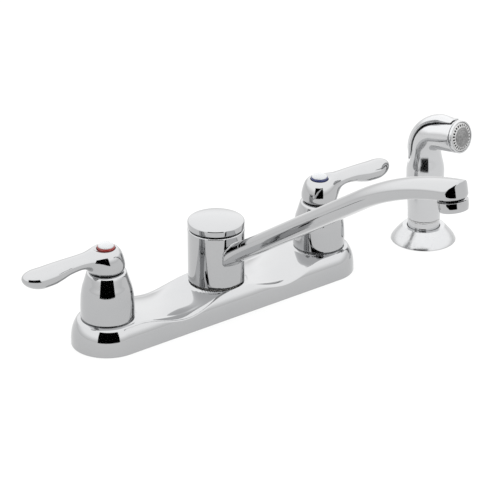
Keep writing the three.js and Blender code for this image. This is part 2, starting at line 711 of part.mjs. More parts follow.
// ---------- spray holder ----------
const holderFlange = () => placeSpray(turned([
  [holderRadius - 2.6, 0], [holderRadius, 0], [holderRadius - 0.3, 0.8], [holderRadius - 1.1, 2.3],
  [holderRadius - 3, 5], [holderRadius - 5.9, 8.4], [holderRimRadius + 0.4, holderTopZ - 0.4],
  [holderRimRadius, holderTopZ], [collarRadius + 0.7, holderTopZ], [collarRadius + 0.4, holderTopZ - 0.3],
  [collarRadius + 0.4, holderLipZ], [holderBoreRadius, holderLipZ], [holderBoreRadius, 0.3],
  [holderRimRadius, 0.3], [holderRimRadius, 7.6], [holderRadius - 7.3, 6.6], [holderRadius - 4.5, 3.6],
]));
const holderSleeve = () => placeSpray(turned([
  [9, 0.3], [holderBoreRadius - clearance, 0.3], [holderBoreRadius - clearance, holderLipZ - clearance],
  [collarRadius + clearance, holderLipZ - clearance], [collarRadius + clearance, collarBottomZ - clearance],
  [9, collarBottomZ - clearance],
], 24));

// ---------- assembly ----------
const faucet = new THREE.Group();
faucet.name = "two_handle_kitchen_faucet";
const add = (name, solid, material) => faucet.add(toMesh(name, solid, material));

add("base_plate", basePlate(), chrome());
add("base_gasket", baseGasket(), rubber());
add("waterway", waterway(), brass());
add("seal_lower", sealRing(sealZ[0]), rubber());
add("seal_upper", sealRing(sealZ[1]), rubber());
add("glide_ring", glideRing(), palePlastic());
add("spout_clip", spoutClip(), steel());

// The cold side is the hot side turned half round, so each lever points away from the spout.
for (const side of ["hot", "cold"]) {
  const yaw = side === "hot" ? Math.PI : 0;
  const x = side === "hot" ? -handleX : handleX;
  const place = (solid) => moved(solid, x, 0, 0, yaw);
  add(`${side}_cartridge`, place(cartridge()), darkPlastic());
  add(`${side}_bonnet_nut`, place(bonnetNut()), brass());
  add(`${side}_bell`, place(bell()), chrome());
  add(`${side}_stem`, place(stem()), brass());
  add(`${side}_lever`, place(handle(side === "hot" ? -leverLean : leverLean)), chrome());
  add(`${side}_screw`, place(handleScrew()), steel());
  add(`${side}_index_ring`, place(indexRing()), side === "hot" ? hotRed() : coldBlue());
  add(`${side}_button`, place(indexButton()), palePlastic());
}

add("spout_arm", spoutArm(), chrome());
add("spout_cap", spoutCap(), chrome());
add("aerator_shell", aeratorShell(), chrome());
add("aerator_screen", aeratorScreen(), darkPlastic());
add("aerator_washer", aeratorWasher(), rubber());

add("holder_flange", holderFlange(), chrome());
add("holder_sleeve", holderSleeve(), darkPlastic());
add("spray_collar", sprayCollar(), chrome());
add("spray_ring", sprayRing(), darkPlastic());
add("spray_shell", sprayShell(), chrome());
add("spray_bezel", sprayBezel(), chrome());
add("spray_disc", sprayDisc(), darkPlastic());
add("spray_lever", placeSpray(leverBand(0)), chrome());
add("spray_plunger", sprayPlunger(), steel());

export default faucet;
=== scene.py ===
"""Two handle kitchen faucet: the visual model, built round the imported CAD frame."""

import json
import math

import bmesh
import bpy
import numpy as np
from mathutils import Matrix, Vector


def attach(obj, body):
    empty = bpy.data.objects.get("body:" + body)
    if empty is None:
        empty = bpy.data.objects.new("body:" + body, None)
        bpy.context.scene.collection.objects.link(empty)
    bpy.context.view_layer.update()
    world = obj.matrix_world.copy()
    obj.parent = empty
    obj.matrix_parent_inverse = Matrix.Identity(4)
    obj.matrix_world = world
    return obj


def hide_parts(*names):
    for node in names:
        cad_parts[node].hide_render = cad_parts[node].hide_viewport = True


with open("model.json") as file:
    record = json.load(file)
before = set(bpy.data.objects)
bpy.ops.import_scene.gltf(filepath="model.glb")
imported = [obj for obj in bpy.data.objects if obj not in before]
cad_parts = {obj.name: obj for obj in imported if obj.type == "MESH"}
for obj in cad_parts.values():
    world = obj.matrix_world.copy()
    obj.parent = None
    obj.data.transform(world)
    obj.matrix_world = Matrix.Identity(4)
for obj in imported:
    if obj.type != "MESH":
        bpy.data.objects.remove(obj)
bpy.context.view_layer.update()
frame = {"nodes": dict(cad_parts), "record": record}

MM = 0.001
TAU = 2 * math.pi

# ---------- sizes in millimetres, as in the part's source ----------
HANDLE_X = 101.6
PLATE_RIM = 27.9
HANDLE_SEAT_Z = 21
HUB_SEAT_Z = 21.4
HUB_RADIUS = 21.8
HUB_GROOVE_Z = 64.1
HUB_GROOVE = 1.2
HUB_TOP_Z = 71
SPOUT_YAW = math.radians(4)
SPOUT_PITCH = math.radians(33.9)
SPOUT_STRAIGHT_END = 152
SPOUT_BEND_RADIUS = 250
SPOUT_TIP_REACH = 238.8
SPOUT_CROWN_ROOT_Z = 58.4
SPOUT_THICKNESS = 14.7
SPRAY_X, SPRAY_Y = 204, -9.9
SPRAY_YAW = math.radians(8)
SPRAY_TILT = math.radians(11)
SPRAY_BASE_Z = 19.2
BEND_RADIUS = 15.5
BEND_START_Z = 79.3
BARREL_LENGTH = 20.3
NECK_LENGTH = BEND_START_Z - SPRAY_BASE_Z
BEND_TURN = math.pi / 2 - SPRAY_TILT
BEND_LENGTH = BEND_RADIUS * BEND_TURN
BODY_LENGTH = NECK_LENGTH + BEND_LENGTH + BARREL_LENGTH


# ---------- small mathematics ----------
def mix(a, b, t):
    return a + (b - a) * t


def smooth(t):
    s = np.clip(t, 0, 1)
    return s * s * (3 - 2 * s)


def smax(a, b, k):
    """The larger of two fields, with the edge between them rounded by about k."""
    h = np.maximum(k - np.abs(a - b), 0)
    return np.maximum(a, b) + h * h / (4 * k)


def smin(a, b, k):
    return -smax(-a, -b, k)


def curve_through(xs, ys):
    """A smooth curve through points that doesn't overshoot between them."""
    xs, ys = np.asarray(xs, float), np.asarray(ys, float)
    step = np.diff(xs)
    slope = np.diff(ys) / step
    tangent = np.zeros(len(xs))
    same = slope[:-1] * slope[1:] > 0
    w1, w2 = 2 * step[1:] + step[:-1], step[1:] + 2 * step[:-1]
    with np.errstate(divide="ignore", invalid="ignore"):
        inner = (w1 + w2) / (w1 / slope[:-1] + w2 / slope[1:])
    tangent[1:-1] = np.where(same, inner, 0)
    tangent[0], tangent[-1] = slope[0], slope[-1]

    def at(x):
        x = np.clip(x, xs[0], xs[-1])
        i = np.clip(np.searchsorted(xs, x) - 1, 0, len(step) - 1)
        t = (x - xs[i]) / step[i]
        h = step[i]
        return (
            (1 + 2 * t) * (1 - t) ** 2 * ys[i]
            + t * (1 - t) ** 2 * h * tangent[i]
            + t * t * (3 - 2 * t) * ys[i + 1]
            + t * t * (t - 1) * h * tangent[i + 1]
        )

    return at


# ---------- meshes ----------
MERGE_DISTANCE = 1e-4
SHORTEST_EDGE = 1e-5
BLOCK = 8                # cells along a block of the skin's grid
BLOCK_HALF_DIAGONAL = 0.9    # of a block's side, rounded up
FIELD_STEEPNESS = 1.5    # how much faster than distance a field may rise
BLOCKS_AT_ONCE = 800
GRADIENT_STEP = 0.02
LEAST_SLOPE_SQUARED = 0.05


def placed(x=0, y=0, z=0, yaw=0.0):
    return Matrix.Translation(Vector((x, y, z)) * MM) @ Matrix.Rotation(yaw, 4, "Z")


def linked(name, data):
    thing = bpy.data.objects.new(name, data)
    bpy.context.scene.collection.objects.link(thing)
    return thing


def finish_piece(name, mesh, body, material, node, place=None):
    """Links a mesh in millimetres as a piece that rides on a body."""
    mesh.transform(Matrix.Scale(MM, 4))
    if place is not None:
        mesh.transform(place)
    mesh.materials.append(material)
    piece = linked(name, mesh)
    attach(piece, body)
    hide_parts(node)
    return piece


def mesh_from(name, vertices, faces):
    """A smooth shaded mesh, with doubles merged and its faces turned outwards."""
    mesh = bpy.data.meshes.new(name)
    mesh.from_pydata([tuple(v) for v in vertices], [], [tuple(f) for f in faces])
    bm = bmesh.new()
    bm.from_mesh(mesh)
    bmesh.ops.remove_doubles(bm, verts=bm.verts, dist=MERGE_DISTANCE)
    bmesh.ops.dissolve_degenerate(bm, edges=bm.edges, dist=SHORTEST_EDGE)
    bmesh.ops.recalc_face_normals(bm, faces=bm.faces)
    bm.to_mesh(mesh)
    bm.free()
    mesh.polygons.foreach_set("use_smooth", [True] * len(mesh.polygons))
    return mesh


def rounded(outline, steps=5):
    """An outline whose corners [r, z, radius] are turned into small arcs."""
    points = []
    count = len(outline)
    for i, corner in enumerate(outline):
        here = np.array(corner[:2], float)
        radius = corner[2] if len(corner) > 2 else 0
        if radius <= 0:
            points.append(here)
            continue
        before = np.array(outline[(i - 1) % count][:2], float) - here
        after = np.array(outline[(i + 1) % count][:2], float) - here
        length_before, length_after = np.linalg.norm(before), np.linalg.norm(after)
        before, after = before / length_before, after / length_after
        half = math.acos(float(np.clip(before @ after, -1, 1))) / 2
        reach = min(radius / math.tan(half), 0.48 * length_before, 0.48 * length_after)
        radius = reach * math.tan(half)
        middle = (before + after) / np.linalg.norm(before + after)
        centre = here + middle * (radius / math.sin(half))
        start, end = here + before * reach - centre, here + after * reach - centre
        sweep = math.atan2(start[0] * end[1] - start[1] * end[0], start @ end)
        for k in range(steps + 1):
            turn = sweep * k / steps
            c, s = math.cos(turn), math.sin(turn)
            points.append(centre + np.array(
                [c * start[0] - s * start[1], s * start[0] + c * start[1]]))
    return points


def lathe(name, outline, segments=112):
    """A turned closed shell about +Z from a closed outline of (r, z) points."""
    outline = [(max(r, 0.0), z) for r, z in outline]
    count = len(outline)
    angles = np.arange(segments) / segments * TAU
    rings = [
        np.stack([r * np.cos(angles), r * np.sin(angles), np.full(segments, z)], 1)
        for r, z in outline
    ]
    vertices = np.concatenate(rings)
    faces = []
    for j in range(count):
        k = (j + 1) % count
        if outline[j][0] < 1e-6 and outline[k][0] < 1e-6:
            continue
        for i in range(segments):
            n = (i + 1) % segments
            faces.append((
                j * segments + i, j * segments + n, k * segments + n, k * segments + i))
    return mesh_from(name, vertices, faces)


def skin(name, field, low, high, cell, settle=4):
    """The closed surface where a field of points in millimetres is zero."""
    low, high = np.array(low, float), np.array(high, float)
    blocks = np.ceil((high - low) / (cell * BLOCK)).astype(int)
    count = blocks * BLOCK
    middle = [
        low[i] + cell * (BLOCK * np.arange(blocks[i]) + (BLOCK - 1) / 2) for i in range(3)]
    coarse = np.stack(np.meshgrid(*middle, indexing="ij"), -1)
    value = field(coarse.reshape(-1, 3)).reshape(blocks)
    reach = cell * BLOCK * BLOCK_HALF_DIAGONAL * FIELD_STEEPNESS
    values = np.repeat(np.repeat(np.repeat(value, BLOCK, 0), BLOCK, 1), BLOCK, 2)
    values = values.astype(np.float32)
    active = np.argwhere(np.abs(value) < reach)
    offset = np.stack(np.meshgrid(*[np.arange(BLOCK)] * 3, indexing="ij"), -1).reshape(-1, 3)
    for start in range(0, len(active), BLOCKS_AT_ONCE):
        batch = active[start:start + BLOCKS_AT_ONCE, None, :]
        cells = (batch * BLOCK + offset[None]).reshape(-1, 3)
        points = low + cells * cell
        values[cells[:, 0], cells[:, 1], cells[:, 2]] = field(points)
    inside = values < 0
    corners = [(a, b, c) for a in (0, 1) for b in (0, 1) for c in (0, 1)]
    total = np.zeros(count - 1, np.int8)
    for a, b, c in corners:
        total += inside[a:a + count[0] - 1, b:b + count[1] - 1, c:c + count[2] - 1]
    mixed = (total > 0) & (total < 8)
    cell_index = np.argwhere(mixed)
    number = np.full(count - 1, -1, np.int64)
    number[tuple(cell_index.T)] = np.arange(len(cell_index))
    summed = np.zeros((len(cell_index), 3))
    hits = np.zeros(len(cell_index))
    for a, b, c in corners:
        for axis in range(3):
            if (a, b, c)[axis]:
                continue
            near = cell_index + np.array([a, b, c])
            far = near.copy()
            far[:, axis] += 1
            v0 = values[tuple(near.T)].astype(float)
            v1 = values[tuple(far.T)].astype(float)
            crossed = (v0 < 0) != (v1 < 0)
            t = np.where(crossed, v0 / np.where(crossed, v0 - v1, 1), 0)
            spot = near.astype(float)
            spot[:, axis] += t
            summed[crossed] += spot[crossed]
            hits[crossed] += 1
    vertices = low + cell * summed / hits[:, None]
    faces = []
    for axis in range(3):
        u, w = (axis + 1) % 3, (axis + 2) % 3
        first = [slice(0, n) for n in count]
        second = [slice(0, n) for n in count]
        first[axis], second[axis] = slice(0, count[axis] - 1), slice(1, count[axis])
        crossing = inside[tuple(first)] != inside[tuple(second)]
        edge = np.argwhere(crossing)
        edge = edge[(edge[:, u] > 0) & (edge[:, w] > 0)]
        edge = edge[(edge[:, u] < count[u] - 1) & (edge[:, w] < count[w] - 1)]
        quad = []
        for du, dw in ((-1, -1), (0, -1), (0, 0), (-1, 0)):
            spot = edge.copy()
            spot[:, u] += du
            spot[:, w] += dw
            quad.append(number[tuple(spot.T)])
        quad = np.stack(quad, 1)
        leaving = inside[tuple(edge.T)]
        quad[~leaving] = quad[~leaving][:, ::-1]
        faces.append(quad)
    faces = np.concatenate(faces)

    def gradient(points):
        parts = []
        for axis in range(3):
            shift = np.zeros(3)
            shift[axis] = GRADIENT_STEP
            parts.append((field(points + shift) - field(points - shift)) / (2 * GRADIENT_STEP))
        return np.stack(parts, 1)

    rest = vertices.copy()
    for _ in range(settle):
        slope = gradient(vertices)
        steepness = np.maximum((slope ** 2).sum(1), LEAST_SLOPE_SQUARED)
        vertices = vertices - (field(vertices) / steepness)[:, None] * slope
    away = vertices - rest
    far = np.linalg.norm(away, axis=1) > cell
    vertices[far] = rest[far]
    mesh = bpy.data.meshes.new(name)
    mesh.from_pydata(vertices.tolist(), [], faces.tolist())
    mesh.update()
    mesh.polygons.foreach_set("use_smooth", [True] * len(mesh.polygons))
    return mesh


def cut(piece_mesh, cutters):
    """Cuts closed cutter meshes out of a mesh."""
    target = linked("cut_target", piece_mesh)
    made = [target]
    for cutter in cutters:
        tool = linked("cut_tool", cutter)
        made.append(tool)
        modifier = target.modifiers.new("cut", "BOOLEAN")
        modifier.operation = "DIFFERENCE"
        modifier.solver = "EXACT"
        modifier.object = tool
    graph = bpy.context.evaluated_depsgraph_get()
    result = bpy.data.meshes.new_from_object(target.evaluated_get(graph))
    for o in made:
        bpy.data.objects.remove(o)
    return result


# ---------- materials ----------
class Nodes:
    """A short way to write a node material."""

    def __init__(self, name, slot):
        self.material = bpy.data.materials.new(name)
        self.material["slot"] = slot
        self.material.use_nodes = True
        self.tree = self.material.node_tree
        self.tree.nodes.clear()
        self.output = self.tree.nodes.new("ShaderNodeOutputMaterial")
        self.shader = self.add("ShaderNodeBsdfPrincipled")
        self.link(self.shader.outputs[0], self.output.inputs["Surface"])
        self.place = self.add("ShaderNodeTexCoord").outputs["Object"]

    def add(self, kind, **settings):
        node = self.tree.nodes.new(kind)
        for key, value in settings.items():
            setattr(node, key, value)
        return node

    def link(self, a, b):
        self.tree.links.new(a, b)

    def set(self, **values):
        for key, value in values.items():
            self.shader.inputs[key.replace("_", " ")].default_value = value

    def noise(self, scale, detail=3.0, stretch=(1, 1, 1), rough=0.5):
        node = self.add("ShaderNodeTexNoise")
        node.inputs["Scale"].default_value = scale
        node.inputs["Detail"].default_value = detail
        node.inputs["Roughness"].default_value = rough
        if stretch == (1, 1, 1):
            self.link(self.place, node.inputs["Vector"])
        else:
            mapping = self.add("ShaderNodeMapping")
            mapping.inputs["Scale"].default_value = stretch
            self.link(self.place, mapping.inputs["Vector"])
            self.link(mapping.outputs[0], node.inputs["Vector"])
        return node.outputs["Fac"]

    def ramp(self, value, stops):
        node = self.add("ShaderNodeValToRGB")
        elements = node.color_ramp.elements
        while len(elements) < len(stops):
            elements.new(0.5)
        for element, (position, color) in zip(elements, stops):
            element.position = position
            element.color = (*color, 1)
        self.link(value, node.inputs["Fac"])
        return node.outputs["Color"]

    def between(self, value, low, high, from_low=0.0, from_high=1.0):
        node = self.add("ShaderNodeMapRange")
        node.inputs["From Min"].default_value = from_low
        node.inputs["From Max"].default_value = from_high
        node.inputs["To Min"].default_value = low
        node.inputs["To Max"].default_value = high
        self.link(value, node.inputs["Value"])
        return node.outputs["Result"]

    def bump(self, height, strength, distance):
        node = self.add("ShaderNodeBump")
        node.inputs["Strength"].default_value = strength
        node.inputs["Distance"].default_value = distance
        self.link(height, node.inputs["Height"])
        self.link(node.outputs["Normal"], self.shader.inputs["Normal"])


def grey(v):
    return (v, v, v)


def chrome_material(name, tone, dull, brushed=None):
    """Chrome with a faint haze and smear, or with fine lines where it is brushed."""
    m = Nodes(name, "chrome")
    m.set(Metallic=1.0, IOR=1.5)
    haze = m.noise(38, 4)
    darker, lighter = (tone * 0.975, tone * 0.985, tone), (tone, tone * 1.005, tone * 1.015)
    m.link(m.ramp(haze, [(0.3, darker), (0.7, lighter)]), m.shader.inputs["Base Color"])
    if brushed:
        lines = m.noise(420, 2, stretch=brushed)
        m.link(m.between(lines, dull, dull + 0.16, 0.3, 0.7), m.shader.inputs["Roughness"])
        m.bump(lines, 0.4, 0.00004)
    else:
        smear = m.noise(140, 5, rough=0.65)
        m.link(m.between(smear, dull, dull + 0.035, 0.35, 0.75), m.shader.inputs["Roughness"])
        m.bump(m.noise(900, 1), 0.04, 0.00001)
    return m.material


def plain_material(name, slot, low, high, roughness, metallic=0.0, scale=220, bump=0.2,
                   distance=0.00005, stretch=(1, 1, 1), coat=0.0):
    """A finish whose colour and roughness wander a little between two tones."""
    m = Nodes(name, slot)
    m.set(Metallic=metallic, Coat_Weight=coat, Coat_Roughness=0.08)
    grain = m.noise(scale, 4, stretch=stretch)
    m.link(m.ramp(grain, [(0.3, low), (0.7, high)]), m.shader.inputs["Base Color"])
    m.link(m.between(grain, roughness - 0.05, roughness + 0.07, 0.3, 0.7), m.shader.inputs["Roughness"])
    m.bump(m.noise(scale * 3, 3, stretch=stretch), bump, distance)
    return m.material


chrome = chrome_material("polished_chrome", tone=0.45, dull=0.035)
chrome_spray = chrome_material("spray_chrome", tone=0.55, dull=0.12)
satin = chrome_material("holder_satin_chrome", tone=0.50, dull=0.12, brushed=(1, 1, 0.05))
brass = plain_material(
    "machined_brass", "brass", (0.42, 0.27, 0.09), (0.52, 0.35, 0.13), 0.32, metallic=1.0,
    scale=90, bump=0.25, distance=0.00006, stretch=(1, 1, 14))
steel = plain_material(
    "plain_steel", "steel", grey(0.42), grey(0.52), 0.3, metallic=1.0, scale=160,
    distance=0.00004, stretch=(1, 1, 12))
rubber = plain_material(
    "black_rubber", "rubber", grey(0.010), grey(0.018), 0.75, scale=260, bump=0.35)
dark_plastic = plain_material(
    "dark_plastic", "dark_plastic", (0.016, 0.016, 0.018), (0.026, 0.026, 0.03), 0.5)
silver_plastic = plain_material(
    "spray_disc_silver", "dark_plastic", grey(0.42), grey(0.52), 0.22, metallic=0.85,
    scale=500, bump=0.25)
# The jet holes are painted near-black: painted shade inside the holes, on top of the real shade of
# their hollows.
jet_hole_painted_shade = plain_material("spray_jet_hole_painted_shade", "dark_plastic", grey(0.012), grey(0.02), 0.6)
disc_grey = plain_material(
    "spray_disc_grey", "dark_plastic", grey(0.16), grey(0.26), 0.35, metallic=0.8,
    scale=700, bump=0.4)
pale_plastic = plain_material(
    "pale_plastic", "pale_plastic", (0.62, 0.61, 0.58), (0.70, 0.69, 0.66), 0.4)
button_white = plain_material(
    "button_white", "pale_plastic", (0.44, 0.45, 0.46), (0.50, 0.51, 0.52), 0.16,
    scale=60, bump=0.05, distance=0.00002, coat=0.6)
ring_red = plain_material(
    "ring_red", "hot_red", (0.17, 0.012, 0.010), (0.24, 0.020, 0.016), 0.3,
    scale=300, bump=0.1, coat=0.3)
ring_blue = plain_material(
    "ring_blue", "cold_blue", (0.008, 0.014, 0.075), (0.014, 0.026, 0.12), 0.3,
    scale=300, bump=0.1, coat=0.3)

SLOT_LOOK = {
    "chrome": chrome, "brass": brass, "steel": steel, "rubber": rubber,
    "dark_plastic": dark_plastic, "pale_plastic": pale_plastic,
    "hot_red": ring_red, "cold_blue": ring_blue,
}
for part in frame["record"]["subparts"]:
    cad_object = frame["nodes"][part["node"]]
    cad_object.data.materials.clear()
    cad_object.data.materials.append(SLOT_LOOK[part["material_slot"]])

# ---------- camera ----------
AZIMUTH, ELEVATION = math.radians(38.15), math.radians(25.5)
PHOTO_PX, SENSOR_MM = 500, 36
FOCUS_PX, CAMERA_MM = 2447.48, 1884.1
OFFSET_RIGHT, OFFSET_UP = 25.77, 40.77
right = Vector((math.cos(AZIMUTH), -math.sin(AZIMUTH), 0))
look = Vector((
    math.sin(AZIMUTH) * math.cos(ELEVATION), math.cos(AZIMUTH) * math.cos(ELEVATION),
    -math.sin(ELEVATION)))
up = right.cross(look)
camera_data = bpy.data.cameras.new("camera")
camera = linked("camera", camera_data)
camera_data.sensor_width = SENSOR_MM
camera_data.lens = FOCUS_PX * SENSOR_MM / PHOTO_PX
camera_data.clip_start = 0.05
camera_data.clip_end = 50
camera.matrix_world = Matrix((
    (right.x, up.x, -look.x, 0), (right.y, up.y, -look.y, 0), (right.z, up.z, -look.z, 0),
    (0, 0, 0, 1)))
camera.location = (right * OFFSET_RIGHT + up * OFFSET_UP - look * CAMERA_MM) * MM
bpy.context.scene.camera = camera


# ---------- base plate ----------
RIM_LEAN = 5.9e-4        # how fast the side draws in towards the fold
RIM_SAMPLES, FOLD_SAMPLES, TOP_SAMPLES, FINE_SAMPLES = 15, 7, 41, 241
SMOOTHING = 15           # fine samples that one smoothing window takes in
FLAT_TOP = 2.7           # higher keeps the top level for longer before the crest
PLATE_WALL = 3
SOCKET_HOLE_RADIUS, POST_HOLE_RADIUS = 13.7, 15
HUB_PAD_RADIUS, HANDLE_PAD_RADIUS = 22.6, 20.9
HUB_PAD_END = 8          # from the middle, where the pad under the hub starts to sink
HANDLE_PAD_END = 12      # the same, measured inwards from the valve axis
FOLD_HUB = dict(fold_z=19.2, crest=22, crest_z=HUB_SEAT_Z - 0.9, top=HUB_SEAT_Z - 0.3)
FOLD_MIDDLE = dict(fold_z=12.3, crest=20.5, crest_z=14.6, top=17)
FOLD_HANDLE = dict(fold_z=20.3, crest=21.3, crest_z=HANDLE_SEAT_Z - 0.5, top=HANDLE_SEAT_Z - 0.3)
MIDDLE_X = 47


def plate_shape(x):
    """The sizes of the fold and the top at each place along the plate."""
    along = np.minimum(np.abs(x), HANDLE_X)
    inner = along < MIDDLE_X
    start = np.where(inner, HUB_PAD_END, HANDLE_X - HANDLE_PAD_END)
    t = smooth((along - start) / (MIDDLE_X - start))
    return {
        key: mix(np.where(inner, FOLD_HUB[key], FOLD_HANDLE[key]), FOLD_MIDDLE[key], t)
        for key in FOLD_HUB
    }


def plate_outline(shape, samples):
    """One smooth run from the deck over the fold to the middle of the top."""
    rim = np.linspace(0, shape["fold_z"], RIM_SAMPLES)
    out, z = list(PLATE_RIM - RIM_LEAN * rim ** 3), list(rim)
    fold_out = out[-1]
    for a in np.linspace(0, 1, FOLD_SAMPLES)[1:]:
        out.append(mix(fold_out, shape["crest"], a))
        z.append(mix(shape["fold_z"], shape["crest_z"], a * (2 - a)))
    for a in np.linspace(0, 1, TOP_SAMPLES)[1:]:
        out.append(shape["crest"] * (1 - a))
        z.append(mix(shape["top"], shape["crest_z"], (1 - a) ** FLAT_TOP))
    out, z = np.array(out), np.array(z)
    length = np.concatenate([[0], np.cumsum(np.hypot(np.diff(out), np.diff(z)))])
    length /= length[-1]
    fine = np.linspace(0, 1, FINE_SAMPLES)
    out, z = np.interp(fine, length, out), np.interp(fine, length, z)
    window = np.hanning(SMOOTHING)
    window /= window.sum()
    half = SMOOTHING // 2
    for line in (out, z):
        before, after = line[half:0:-1], line[-2:-half - 2:-1]
        wide = np.concatenate([2 * line[0] - before, line, 2 * line[-1] - after])
        line[:] = np.convolve(wide, window, "valid")
    return np.interp(samples, fine, out), np.interp(samples, fine, z)


def drill(x, radius):
    mesh = lathe("drill", [(0, -1), (radius, -1), (radius, 40), (0, 40)], 48)
    mesh.transform(Matrix.Translation((x, 0, 0)))
    return mesh


def base_plate():
    """Rows of points from the rim to the middle and back inside, then three holes."""
    side, arc = 170, 72
    xs = np.concatenate([
        np.linspace(-HANDLE_X, HANDLE_X, side, endpoint=False), np.full(arc, HANDLE_X),
        np.linspace(HANDLE_X, -HANDLE_X, side, endpoint=False), np.full(arc, -HANDLE_X)])
    angles = np.concatenate([
        np.full(side, -math.pi / 2), np.linspace(-0.5, 0.5, arc, endpoint=False) * math.pi,
        np.full(side, math.pi / 2), np.linspace(0.5, 1.5, arc, endpoint=False) * math.pi])
    count = len(xs)
    samples = np.linspace(0, 1, 62)
    shapes = plate_shape(xs)
    rows = np.zeros((len(samples), count, 2))
    for i in range(count):
        shape = {key: float(value[i]) for key, value in shapes.items()}
        rows[:, i, 0], rows[:, i, 1] = plate_outline(shape, samples)
    out, z = rows[..., 0], rows[..., 1]
    x = xs + out * np.cos(angles)
    y = out * np.sin(angles)
    seats = (
        (0, HUB_PAD_RADIUS, HUB_SEAT_Z),
        (-HANDLE_X, HANDLE_PAD_RADIUS, HANDLE_SEAT_Z),
        (HANDLE_X, HANDLE_PAD_RADIUS, HANDLE_SEAT_Z),
    )
    for centre, radius, height in seats:
        away = np.hypot(x - centre, y)
        past = away - radius
        boss = height - 3 * np.maximum(past, 0) ** 2 - np.maximum(past - 1, 0) * 8
        z = smax(z, np.where(away < radius + 3, boss, -50), 0.5)
        z = np.minimum(z, height)
    outer = np.stack([x, y, z], -1)
    inner_out = np.maximum(out - PLATE_WALL, 0)
    inner = np.stack([
        xs + inner_out * np.cos(angles), inner_out * np.sin(angles),
        np.maximum(z - PLATE_WALL, 0)], -1)
    rows = np.concatenate([outer, inner[::-1]])
    total = len(rows)
    vertices = rows.reshape(-1, 3)
    faces = []
    for j in range(total):
        k = (j + 1) % total
        if j == len(samples) - 1:
            continue  # outside and inside both end on the middle line here
        for i in range(count):
            n = (i + 1) % count
            faces.append((j * count + i, j * count + n, k * count + n, k * count + i))
    mesh = mesh_from("look_base_plate", vertices, faces)
    return cut(mesh, [
        drill(HANDLE_X, SOCKET_HOLE_RADIUS), drill(-HANDLE_X, SOCKET_HOLE_RADIUS),
        drill(0, POST_HOLE_RADIUS)])


finish_piece("look_base_plate", base_plate(), "base", chrome, "base_plate")


# ---------- handles and bells ----------
BELL_TOP_Z = 58.5
HANDLE_FOOT_Z = 58.8
HANDLE_TOP_Z = 77
LEVER_LEAN = math.radians(1.6)   # closed levers point a little to the back
LEVER_ROUND = 57                 # where the lever starts to close to its round tip
LEVER_TIP_RUN, LEVER_BACK_RUN = 14.8, 6
POCKET_RADIUS, POCKET_FLOOR_Z = 7, 74.4
INDEX_FOOT_Z = 74.7
LENS_RADIUS, LENS_EDGE_Z, LENS_TOP_Z = 6, 78.6, 81.2


def bell_outline():
    z0, top = HANDLE_SEAT_Z + 0.8, BELL_TOP_Z
    side = curve_through(
        [z0, 28, 37.6, 45.8, 50.4, 54.4, 57.4, top],
        [20.3, 20.3, 19.9, 18.6, 17.2, 16, 15, 14.4])
    outer = [(float(side(z)), z) for z in np.linspace(z0 + 0.5, top - 0.5, 40)]
    foot = [(19.9, z0), (20.15, z0 + 0.12), (20.27, z0 + 0.3)]
    lip = [
        (14.25, top - 0.35), (13.95, top - 0.12), (13.5, top), (9.9, top), (9.5, top - 0.2),
        (9.5, top - 2.2)]
    seat = HANDLE_SEAT_Z + 0.15
    inner = [
        (12.3, top - 2.2), (16.4, 44.4), (18.1, 30), (18.1, seat), (19.2, seat), (19.2, z0)]
    return foot + outer + lip + inner


# (distance from the valve axis, half width, half height, height of the middle)
LEVER_RINGS = [
    (0, 7.8, 6.6, 69.6), (8, 8.1, 7, 70.3), (13, 8.3, 6.8, 70.8), (18.6, 8.1, 5.8, 71.4),
    (25, 7.7, 5.3, 71.7), (33.5, 7.9, 5.8, 71.2), (41.6, 8.8, 6.9, 69.9),
    (48.7, 9.5, 7.5, 69), (57, 9.65, 7.5, 68.7),
]
RING_X, RING_WIDE, RING_HIGH, RING_MID = (list(column) for column in zip(*LEVER_RINGS))
LEVER_WIDE = curve_through(RING_X, RING_WIDE)
LEVER_HIGH = curve_through(RING_X, RING_HIGH)
LEVER_MID = curve_through(RING_X + [63, 67.5, 71.5], RING_MID + [69.2, 69.8, 70.5])
DOME_SIDE = curve_through(
    [58, 59.2, 60.2, 61.2, 62.4, 64.5, 67, 69.6, 72, 74.2, 76, 77, 78],
    [12.2, 12.4, 13.2, 13.8, 14.05, 13.95, 13.4, 12.6, 11.7, 10.6, 9.1, 7.9, 4])


def cylinder_field(rho, z, radius, low, high, k=0.2):
    return smax(rho - radius, smax(low - z, z - high, k), k)


